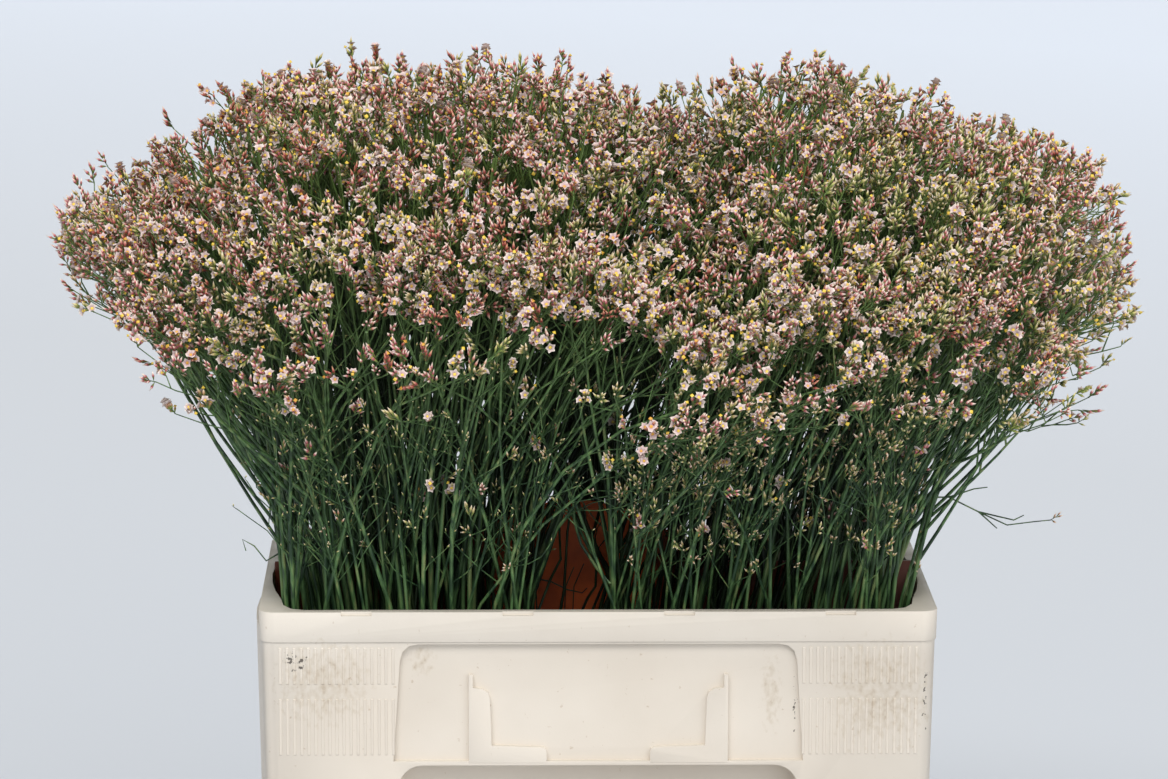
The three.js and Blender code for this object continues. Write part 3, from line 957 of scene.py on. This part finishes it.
def headPlaces(cell, draw):
    side = sideOf(cell)
    top = growth["headTop"]
    low = growth["headLow"][layerOf(cell)][side]
    stepU, stepV = growth["headSteps"]
    places = []
    shift = (draw.random(), draw.random())
    for index in range(growth["heads"][layerOf(cell)]):
        u = ((index * stepU + shift[0]) % 1) * 2 - 1
        v = frontLimit(cell, ((index * stepV + shift[1]) % 1) * 2 - 1)
        places.append((u, v, lerp(top, low, draw.random() ** growth["headPower"])))
    for index in range(growth["outerHeads"] if cell["outerV"] else 0):
        k = lerp(growth["frontLow"][side], top, draw.random() ** growth["edgePower"])
        v = cell["outerV"] * draw.uniform(growth["outwardsFrom"]["front"], 1.0)
        if index and cell["outerV"] < 0:
            v *= growth["frontEdge"][side]
        places.append((draw.uniform(-1, 1), v, k if index else top))
    for _ in range(growth["endHeads"] if cell["outerU"] else 0):
        k = lerp(growth["sideLow"][side], top, draw.random() ** growth["edgePower"])
        u = draw.uniform(growth["outwardsFrom"]["side"], 1.0)
        places.append((u, draw.uniform(-1, 1), k))
    return places


# A way to any side. The lower the rise, the more level it is.
def aside(draw, rise):
    return Vector((draw.gauss(0, 1), draw.gauss(0, 1), draw.gauss(0, rise))).normalized()


# Heads differ in how far they are open and in their tone, the clusters of one head only a little
def startHead(spray, x):
    draw = spray["draw"]
    spray["open"] = draw.random() < growth["openShare"]
    spray["tone"] = draw.random() - growth["toneDrift"] * x


def addCluster(spray, root, direction, young=False):
    draw = spray["draw"]
    pull = growth["clusterHeading"]
    outwards = (root - Vector((0, 0, bunch["crateHeight"]))).normalized()
    heading = direction * pull["twig"] + outwards * pull["outwards"] + Vector((0, 0, pull["up"]))
    heading = heading + aside(draw, pull["rise"]) * pull["aside"]
    place = placeAt(root * mm, heading.normalized(), draw)
    tone = spray["tone"] + draw.gauss(0, growth["toneJitter"])
    kind = draw.choice(clusterKinds["closed"])
    if draw.random() < (1 - growth["strayOpen"] if spray["open"] else growth["strayOpen"]):
        kind = draw.choice(clusterKinds["open"])
    if young:
        kind = draw.choice(clusterKinds["young"])
        tone = growth["youngTone"] * (1 + draw.random())
    spray["clusters"].append((place @ Matrix.Scale(draw.uniform(*growth["clusterSize"]), 4), kind, tone))


# Lower twigs are longer, so that the clusters of a head end at about one height
def addTwig(spray, limb, share):
    draw = spray["draw"]
    start, direction = alongLine(limb, share)
    length = (limb[-1] - start).length * growth["twigShare"] + draw.uniform(*growth["twigReach"])
    away = (direction + aside(draw, growth["twigRise"]) * growth["twigSpread"]).normalized()
    end = insideBox(start + away * length)
    line = forkedLine(start, end, direction, growth["twigBow"], 3)
    spray["twigs"].append((line, growth["twigRadius"]))
    tip = tipHeading(line)
    addCluster(spray, end, tip)
    if draw.random() < growth["secondCluster"]:
        root, _ = alongLine(line, draw.uniform(*growth["secondFrom"]))
        way = growth["secondWay"]
        heading = tip * way["along"] + aside(draw, way["rise"]) * way["aside"]
        finish = insideBox(root + heading * draw.uniform(*growth["secondReach"]))
        spray["twigs"].append(([root, (root + finish) / 2, finish], growth["twigRadius"]))
        addCluster(spray, finish, (finish - root).normalized())


# A cluster at the end of a line, and twigs along its upper part
def dressLine(spray, line, twigs, lowest):
    addCluster(spray, line[-1], tipHeading(line))
    for index in range(twigs):
        share = (index + spray["draw"].random()) / twigs
        addTwig(spray, line, lerp(lowest, growth["twigsUpTo"], share))


# The small pale scale in the angle of a fork
def addScale(spray, root, heading):
    place = placeAt(root * mm, heading, spray["draw"])
    spray["clusters"].append((place, clusterKinds["scale"][0], growth["youngTone"]))


# A limb forks off its stem well below its tip, and twice again further up
def addLimb(spray, stem, cell, head):
    draw = spray["draw"]
    u, v, k = head
    startHead(spray, stem["points"][-1].x)
    lowest, highest = growth["limbStart"]
    share = min(max(lowest, (k - draw.uniform(*growth["limbBack"])) / stem["top"]), highest)
    start, heading = alongLine(stem["points"], (share + 1) / 2)
    limb = forkedLine(start, insideBox(placeNear(cell, u, v, k)), heading, growth["limbBow"], 6)
    limb = keepSide(cell, limb)
    spray["limbs"].append((limb, growth["limbRadius"]))
    addScale(spray, start, (limb[1] - limb[0]).normalized())
    dressLine(spray, limb, growth["limbTwigs"], growth["limbBareUpTo"])
    spread = growth["forkSpread"]
    for _ in range(growth["forks"]):
        root, heading = alongLine(limb, draw.uniform(*growth["forkStart"]))
        lower = k - growth["forkDrop"] * draw.random()
        across = frontLimit(cell, v + draw.uniform(-spread, spread))
        end = placeNear(cell, u + draw.uniform(-spread, spread), across, lower)
        fork = forkedLine(root, insideBox(end), heading, growth["forkBow"], 4)
        spray["forks"].append((fork, growth["forkRadius"]))
        dressLine(spray, fork, growth["forkTwigs"], growth["twigBareUpTo"])


# Short side shoots low on a stem, some of them with a cluster, most of these young
def addShoots(spray, stem, cell):
    draw = spray["draw"]
    side = sideOf(cell)
    atFront = cell["outerV"] < 0
    low = growth["lowShare"][side]
    way = growth["shootWay"]
    young = growth["youngShare"][side] if atFront else growth["backYoungShare"]
    for _ in range(growth["frontShoots"][side] if atFront else growth["shoots"][layerOf(cell)]):
        share = draw.uniform(growth["shootFrom"], growth["shootUpTo"][side])
        start, heading = alongLine(stem["points"], share)
        away = aside(draw, way["rise"])
        if cell["outerV"]:
            away.y = abs(away.y) * cell["outerV"]
        reached = (heading * way["along"] + away * way["aside"]) * draw.uniform(*growth["shootReach"])
        end = insideBox(start + reached)
        bend = growth["shootBend"] * draw.uniform(-1, 1) * (end - start).length
        line = bentLine(start, (start + end) / 2 + away * bend, end, 4)
        spray["twigs"].append((line, growth["twigRadius"]))
        chance = draw.random()
        if chance < low + young:
            addCluster(spray, end, tipHeading(line), young=chance > low)
        elif atFront:
            addScale(spray, end, tipHeading(line))


# A smooth way through its places at foot, rim and tip. Stems lean to all sides, so that they cross.
def makeStem(cell, draw, index, lean, kind="free"):
    side = sideOf(cell)
    spread = growth["rimSpread"]
    rim = Vector((draw.uniform(-spread, spread), draw.uniform(-spread, spread)))
    tilt = Vector((draw.gauss(0, growth["lean"][side]), draw.gauss(0, growth["backLean"])))
    if kind == "parting":
        rim = Vector((draw.uniform(*growth["crossingFrom"]), draw.uniform(-1, 1)))
        tilt = Vector((-draw.uniform(*growth["crossingReach"]), 0))
    if kind == "corner":
        rim = Vector((draw.uniform(growth["cornerFrom"], 1), draw.uniform(-1, 1)))
        tilt = Vector((draw.uniform(-1, 0), 0))
    tip, foot = rim + tilt, rim + tilt * growth["footLean"]
    top = draw.uniform(*growth["stemTop"][side])
    if index == 0:
        rim, tip, foot, top = Vector((0, 0)), Vector(lean[:2]), -Vector(lean[:2]), lean[2]
    low, middle = placeNear(cell, *foot, -1), placeNear(cell, *rim, 0)
    high = insideBox(placeNear(cell, *tip, top, growth["stemLimit"][side]))
    turns, shift = growth["swayTurns"]
    points = []
    for step in range(growth["stemPoints"]):
        t = step / (growth["stemPoints"] - 1) * 2 - 1
        place = low * (t * (t - 1) / 2) + middle * (1 - t * t) + high * (t * (t + 1) / 2)
        wave = growth["sway"] * math.sin(t * turns + index * shift + cell["seed"]) * max(t, 0)
        points.append(place + Vector((wave, -wave / 2, 0)))
    return {"u": rim.x, "v": rim.y, "top": top, "points": keepSide(cell, points)}


# Stray sprigs at the sides and in the parting. A line starts at the nearest line of its spray, and has first
# what is at its end, then the x and z of its places. A bough is thicker and bare.
sprigs = {
    "radius": (0.6, 0.36),
    "boughRadius": (1.2, 0.7),
    "spray_06": (
        ("head", (-270, 451), (-303, 469), (-316, 481)),
        ("head", (-303, 469), (-309, 480), (-309, 490)),
        ("young", (-290, 462), (-296, 470), (-298, 480)),
        ("bare", (-197, 321), (-204, 330), (-211, 334), (-209, 327)),
    ),
    "spray_07": (
        ("bough", (7, 311), (-1, 321), (-10, 335), (-14, 349), (-15, 369), (-20, 385), (-28, 392)),
        ("bare", (-16, 353), (-23, 356), (-28, 359), (-30, 365)),
        ("bare", (-15, 369), (-8, 378), (-3, 382)),
    ),
    "spray_11": (
        ("bare", (235, 391), (246, 401), (256, 399), (264, 402)),
        ("head", (246, 401), (252, 413), (256, 419)),
        ("head", (256, 399), (262, 409), (269, 416)),
        ("young", (264, 402), (274, 411), (279, 414)),
        ("head", (264, 402), (271, 403), (279, 406)),
        ("young", (271, 403), (279, 403), (285, 404)),
        ("young", (210, 358), (228, 349), (245, 341), (261, 343), (271, 344)),
        ("bare", (228, 349), (239, 339)),
        ("bare", (228, 349), (249, 344), (255, 347)),
        ("bare", (210, 358), (225, 363), (233, 364)),
        ("young", (184, 303), (188, 310), (190, 315)),
        ("young", (276, 442), (299, 447), (310, 450)),
        ("young", (299, 447), (303, 457), (306, 464)),
    ),
    "spray_12": (
        ("bare", (-35, 273), (-36, 299), (-34, 313), (-30, 319)),
        ("bare", (-19, 273), (-18, 297), (-13, 309)),
        ("bare", (-14, 273), (-13, 297), (-7, 311)),
        ("bare", (-27, 300), (-17, 295), (-8, 293), (-5, 296)),
        ("bough", (-12, 273), (-5, 289), (0, 297), (1, 317), (-6, 337), (-7, 348)),
        ("bough", (-38, 273), (-27, 302), (-21, 314), (-22, 336), (-26, 343)),
        ("bough", (-23, 273), (-19, 294), (-17, 330), (-15, 345)),
    ),
}


def nearestTo(lines, x, z):
    places = [alongLine(points, step / 40)[0] for points in lines for step in range(41)]
    return min(places, key=lambda place: (place.x - x) ** 2 + (place.z - z) ** 2)


def addSprigs(spray, lines):
    known = [points for points, _ in spray["stems"]]
    spray["open"] = False
    for ending, *places in lines:
        root = nearestTo(known, *places[0])
        points = [root] + [Vector((x, root.y, z)) for x, z in places]
        if (points[1] - root).length < 1.5:
            points.pop(1)
        points[-1] = insideBox(points[-1])
        spray["twigs"].append((points, sprigs["boughRadius" if ending == "bough" else "radius"]))
        known.append(points)
        spray["tone"] = spray["draw"].random()
        if ending in ("head", "young"):
            addCluster(spray, points[-1], tipHeading(points), ending == "young")


# The first stem of each spray is the one that its node in the frame has
def growSpray(cell):
    draw = random.Random(cell["seed"])
    spray = {"draw": draw, "stems": [], "limbs": [], "forks": [], "twigs": [], "clusters": []}
    frameDraws = drawsFrom(cell["seed"])
    lean = (0.5 * (next(frameDraws) - 0.5), 0.5 * (next(frameDraws) - 0.5), 0.84 + 0.08 * next(frameDraws))
    dressed = growth["stems"][layerOf(cell)]
    count = dressed + growth["bareStems"][layerOf(cell)]
    stems = [makeStem(cell, draw, index, lean) for index in range(count)]
    if cell["innerU"]:
        extra = growth["crossing"]["front" if cell["b"] < 0 else "back"]
        stems += [makeStem(cell, draw, count + index, lean, "parting") for index in range(extra)]
    if cell["outerU"]:
        extra = growth["cornerStems"]
        stems += [makeStem(cell, draw, count + index, lean, "corner") for index in range(extra)]
    for index, stem in enumerate(stems):
        radius = growth["stemRadius"][1] * growth["firstStemSize"]
        if index:
            radius = draw.uniform(*growth["stemRadius"])
        spray["stems"].append((stem["points"], (radius, radius * growth["stemTaper"])))
    for stem in stems[:dressed]:
        startHead(spray, stem["points"][-1].x)
        addShoots(spray, stem, cell)
        dressLine(spray, stem["points"][-3:], growth["limbTwigs"], growth["twigBareUpTo"])
    for head in headPlaces(cell, draw):
        near = sorted(stems, key=lambda stem: (stem["u"] - head[0]) ** 2 + (stem["v"] - head[1]) ** 2)
        addLimb(spray, draw.choice(near[:3]), cell, head)
    addSprigs(spray, sprigs.get(f"spray_{cell['seed']:02d}", ()))
    return spray


def makeSection(name, sides):
    curve = bpy.data.curves.new(name, "CURVE")
    spline = curve.splines.new("POLY")
    spline.points.add(sides - 1)
    for index, point in enumerate(spline.points):
        angle = -index * math.tau / sides
        point.co = (math.cos(angle), math.sin(angle), 0, 1)
    spline.use_cyclic_u = True
    return addObject(name, curve)


def tubesFrom(lines, section):
    curve = bpy.data.curves.new("tubes", "CURVE")
    curve.dimensions = "3D"
    curve.bevel_mode = "OBJECT"
    curve.bevel_object = section
    curve.use_fill_caps = True
    for points, (first, last) in lines:
        spline = curve.splines.new("POLY")
        spline.points.add(len(points) - 1)
        for index, (point, place) in enumerate(zip(spline.points, points)):
            point.co = (*(place * mm), 1)
            point.radius = lerp(first, last, index / (len(points) - 1)) * mm
    holder = addObject("tubes", curve)
    bpy.context.view_layer.update()
    shape = holder.evaluated_get(bpy.context.evaluated_depsgraph_get())
    mesh = bpy.data.meshes.new_from_object(shape)
    bpy.data.objects.remove(holder)
    bpy.data.curves.remove(curve)
    return mesh


def makeStemsMesh(spray, sections, name):
    bm = bmesh.new()
    for kind, section in zip(sidesOf, sections):
        takeIn(bm, tubesFrom(spray[kind], section))
    bmesh.ops.recalc_face_normals(bm, faces=bm.faces)
    mesh = meshFrom(bm, name)
    mesh.materials.clear()
    shadeSmooth(mesh)
    return mesh


def makeFlowersMesh(spray, name):
    bm = bmesh.new()
    for place, kind, tone in spray["clusters"]:
        one = kind.copy()
        one.transform(place)
        one.attributes["tone"].data.foreach_set("value", [tone] * len(one.vertices))
        takeIn(bm, one)
    return meshFrom(bm, name)


sidesOf = {"stems": 5, "limbs": 4, "forks": 3, "twigs": 3}
sections = [makeSection(kind, sides) for kind, sides in sidesOf.items()]
# placeVerts numbers a cluster's materials in this order
flowerMaterials = [budMaterial, petalMaterial, centreMaterial, stemMaterial]
clusterCount = 0
for cell in makeCells():
    spray = growSpray(cell)
    number = f"{cell['seed']:02d}"
    node = f"spray_{number}"
    addPiece(makeStemsMesh(spray, sections, f"stems_{number}"), [stemMaterial], [node])
    addPiece(makeFlowersMesh(spray, f"flowers_{number}"), flowerMaterials, [node])
    clusterCount += len(spray["clusters"])
bpy.data.batch_remove(sum(clusterKinds.values(), sections))
print("sprays made, clusters:", clusterCount)


# Floor, light and camera

stage = {
    "floorRadius": 60,
    # Painted light: the floor is darker near the crate and paler further back and to the right
    "floorNear": fromSrgb(205, 209, 214),
    "floorFar": fromSrgb(221, 228, 238),
    "paleFrom": 2.4,
    "paleTo": 6.7,
    "paleAcross": 0.8,
    "floorRoughness": 0.9,
    "skyColour": fromSrgb(224, 228, 234),
    "skyStrength": 0.24,
}


def makeFloor():
    bm = bmesh.new()
    bmesh.ops.create_circle(bm, cap_ends=True, segments=64, radius=stage["floorRadius"])
    floor = addObject("floor", meshFrom(bm, "floor"))
    material, tree, shader = newMaterial("pale floor", stage["floorNear"], stage["floorRoughness"])
    axes = addAxes(tree)
    # Painted light: darker near the crate, paler further back and to the right
    across = addMaths(tree, "MULTIPLY", axes["X"], stage["paleAcross"])
    away = addMaths(tree, "SUBTRACT", addMaths(tree, "ADD", axes["Y"], across), stage["paleFrom"])
    share = addMaths(tree, "DIVIDE", away, stage["paleTo"] - stage["paleFrom"])
    tint = addRamp(tree, share, [(0.0, stage["floorNear"]), (1.0, stage["floorFar"])])
    tree.links.new(tint, shader.inputs["Base Color"])
    floor.data.materials.append(material)


suns = {
    "overhead light": {"strength": 2.25, "softness": 35, "elevation": 52, "azimuth": -20},
    "front fill": {"strength": 1.3, "softness": 60, "elevation": 32, "azimuth": 30},
    "back fill": {"strength": 0.7, "softness": 70, "elevation": 30, "azimuth": 170},
}


def addSun(name, strength, softness, elevation, azimuth):
    light = bpy.data.lights.new(name, "SUN")
    light.energy = strength
    light.angle = math.radians(softness)
    lamp = addObject(name, light)
    lamp.rotation_euler = (math.radians(90 - elevation), 0, math.radians(azimuth))


def makeWorld():
    world = bpy.data.worlds.new("studio")
    world.use_nodes = True
    background = world.node_tree.nodes["Background"]
    background.inputs["Color"].default_value = stage["skyColour"]
    background.inputs["Strength"].default_value = stage["skyStrength"]
    bpy.context.scene.world = world


camera = {
    "place": (-0.071388, -3.246217, 0.956691),
    "pitch": math.radians(90 - 9.5),
    "roll": -0.002,
    "turn": -0.0196,
    "lens": 167.7,
    "sensor": 36,
    "farClip": 200,
}


def makeCamera():
    data = bpy.data.cameras.new("camera")
    data.lens = camera["lens"]
    data.sensor_width = camera["sensor"]
    data.clip_end = camera["farClip"]
    eye = addObject("camera", data)
    eye.location = camera["place"]
    eye.rotation_euler = (camera["pitch"], camera["roll"], camera["turn"])
    bpy.context.scene.camera = eye


makeFloor()
makeWorld()
for name, values in suns.items():
    addSun(name, **values)
makeCamera()
bpy.context.scene.view_settings.view_transform = "Standard"
print("stage made")
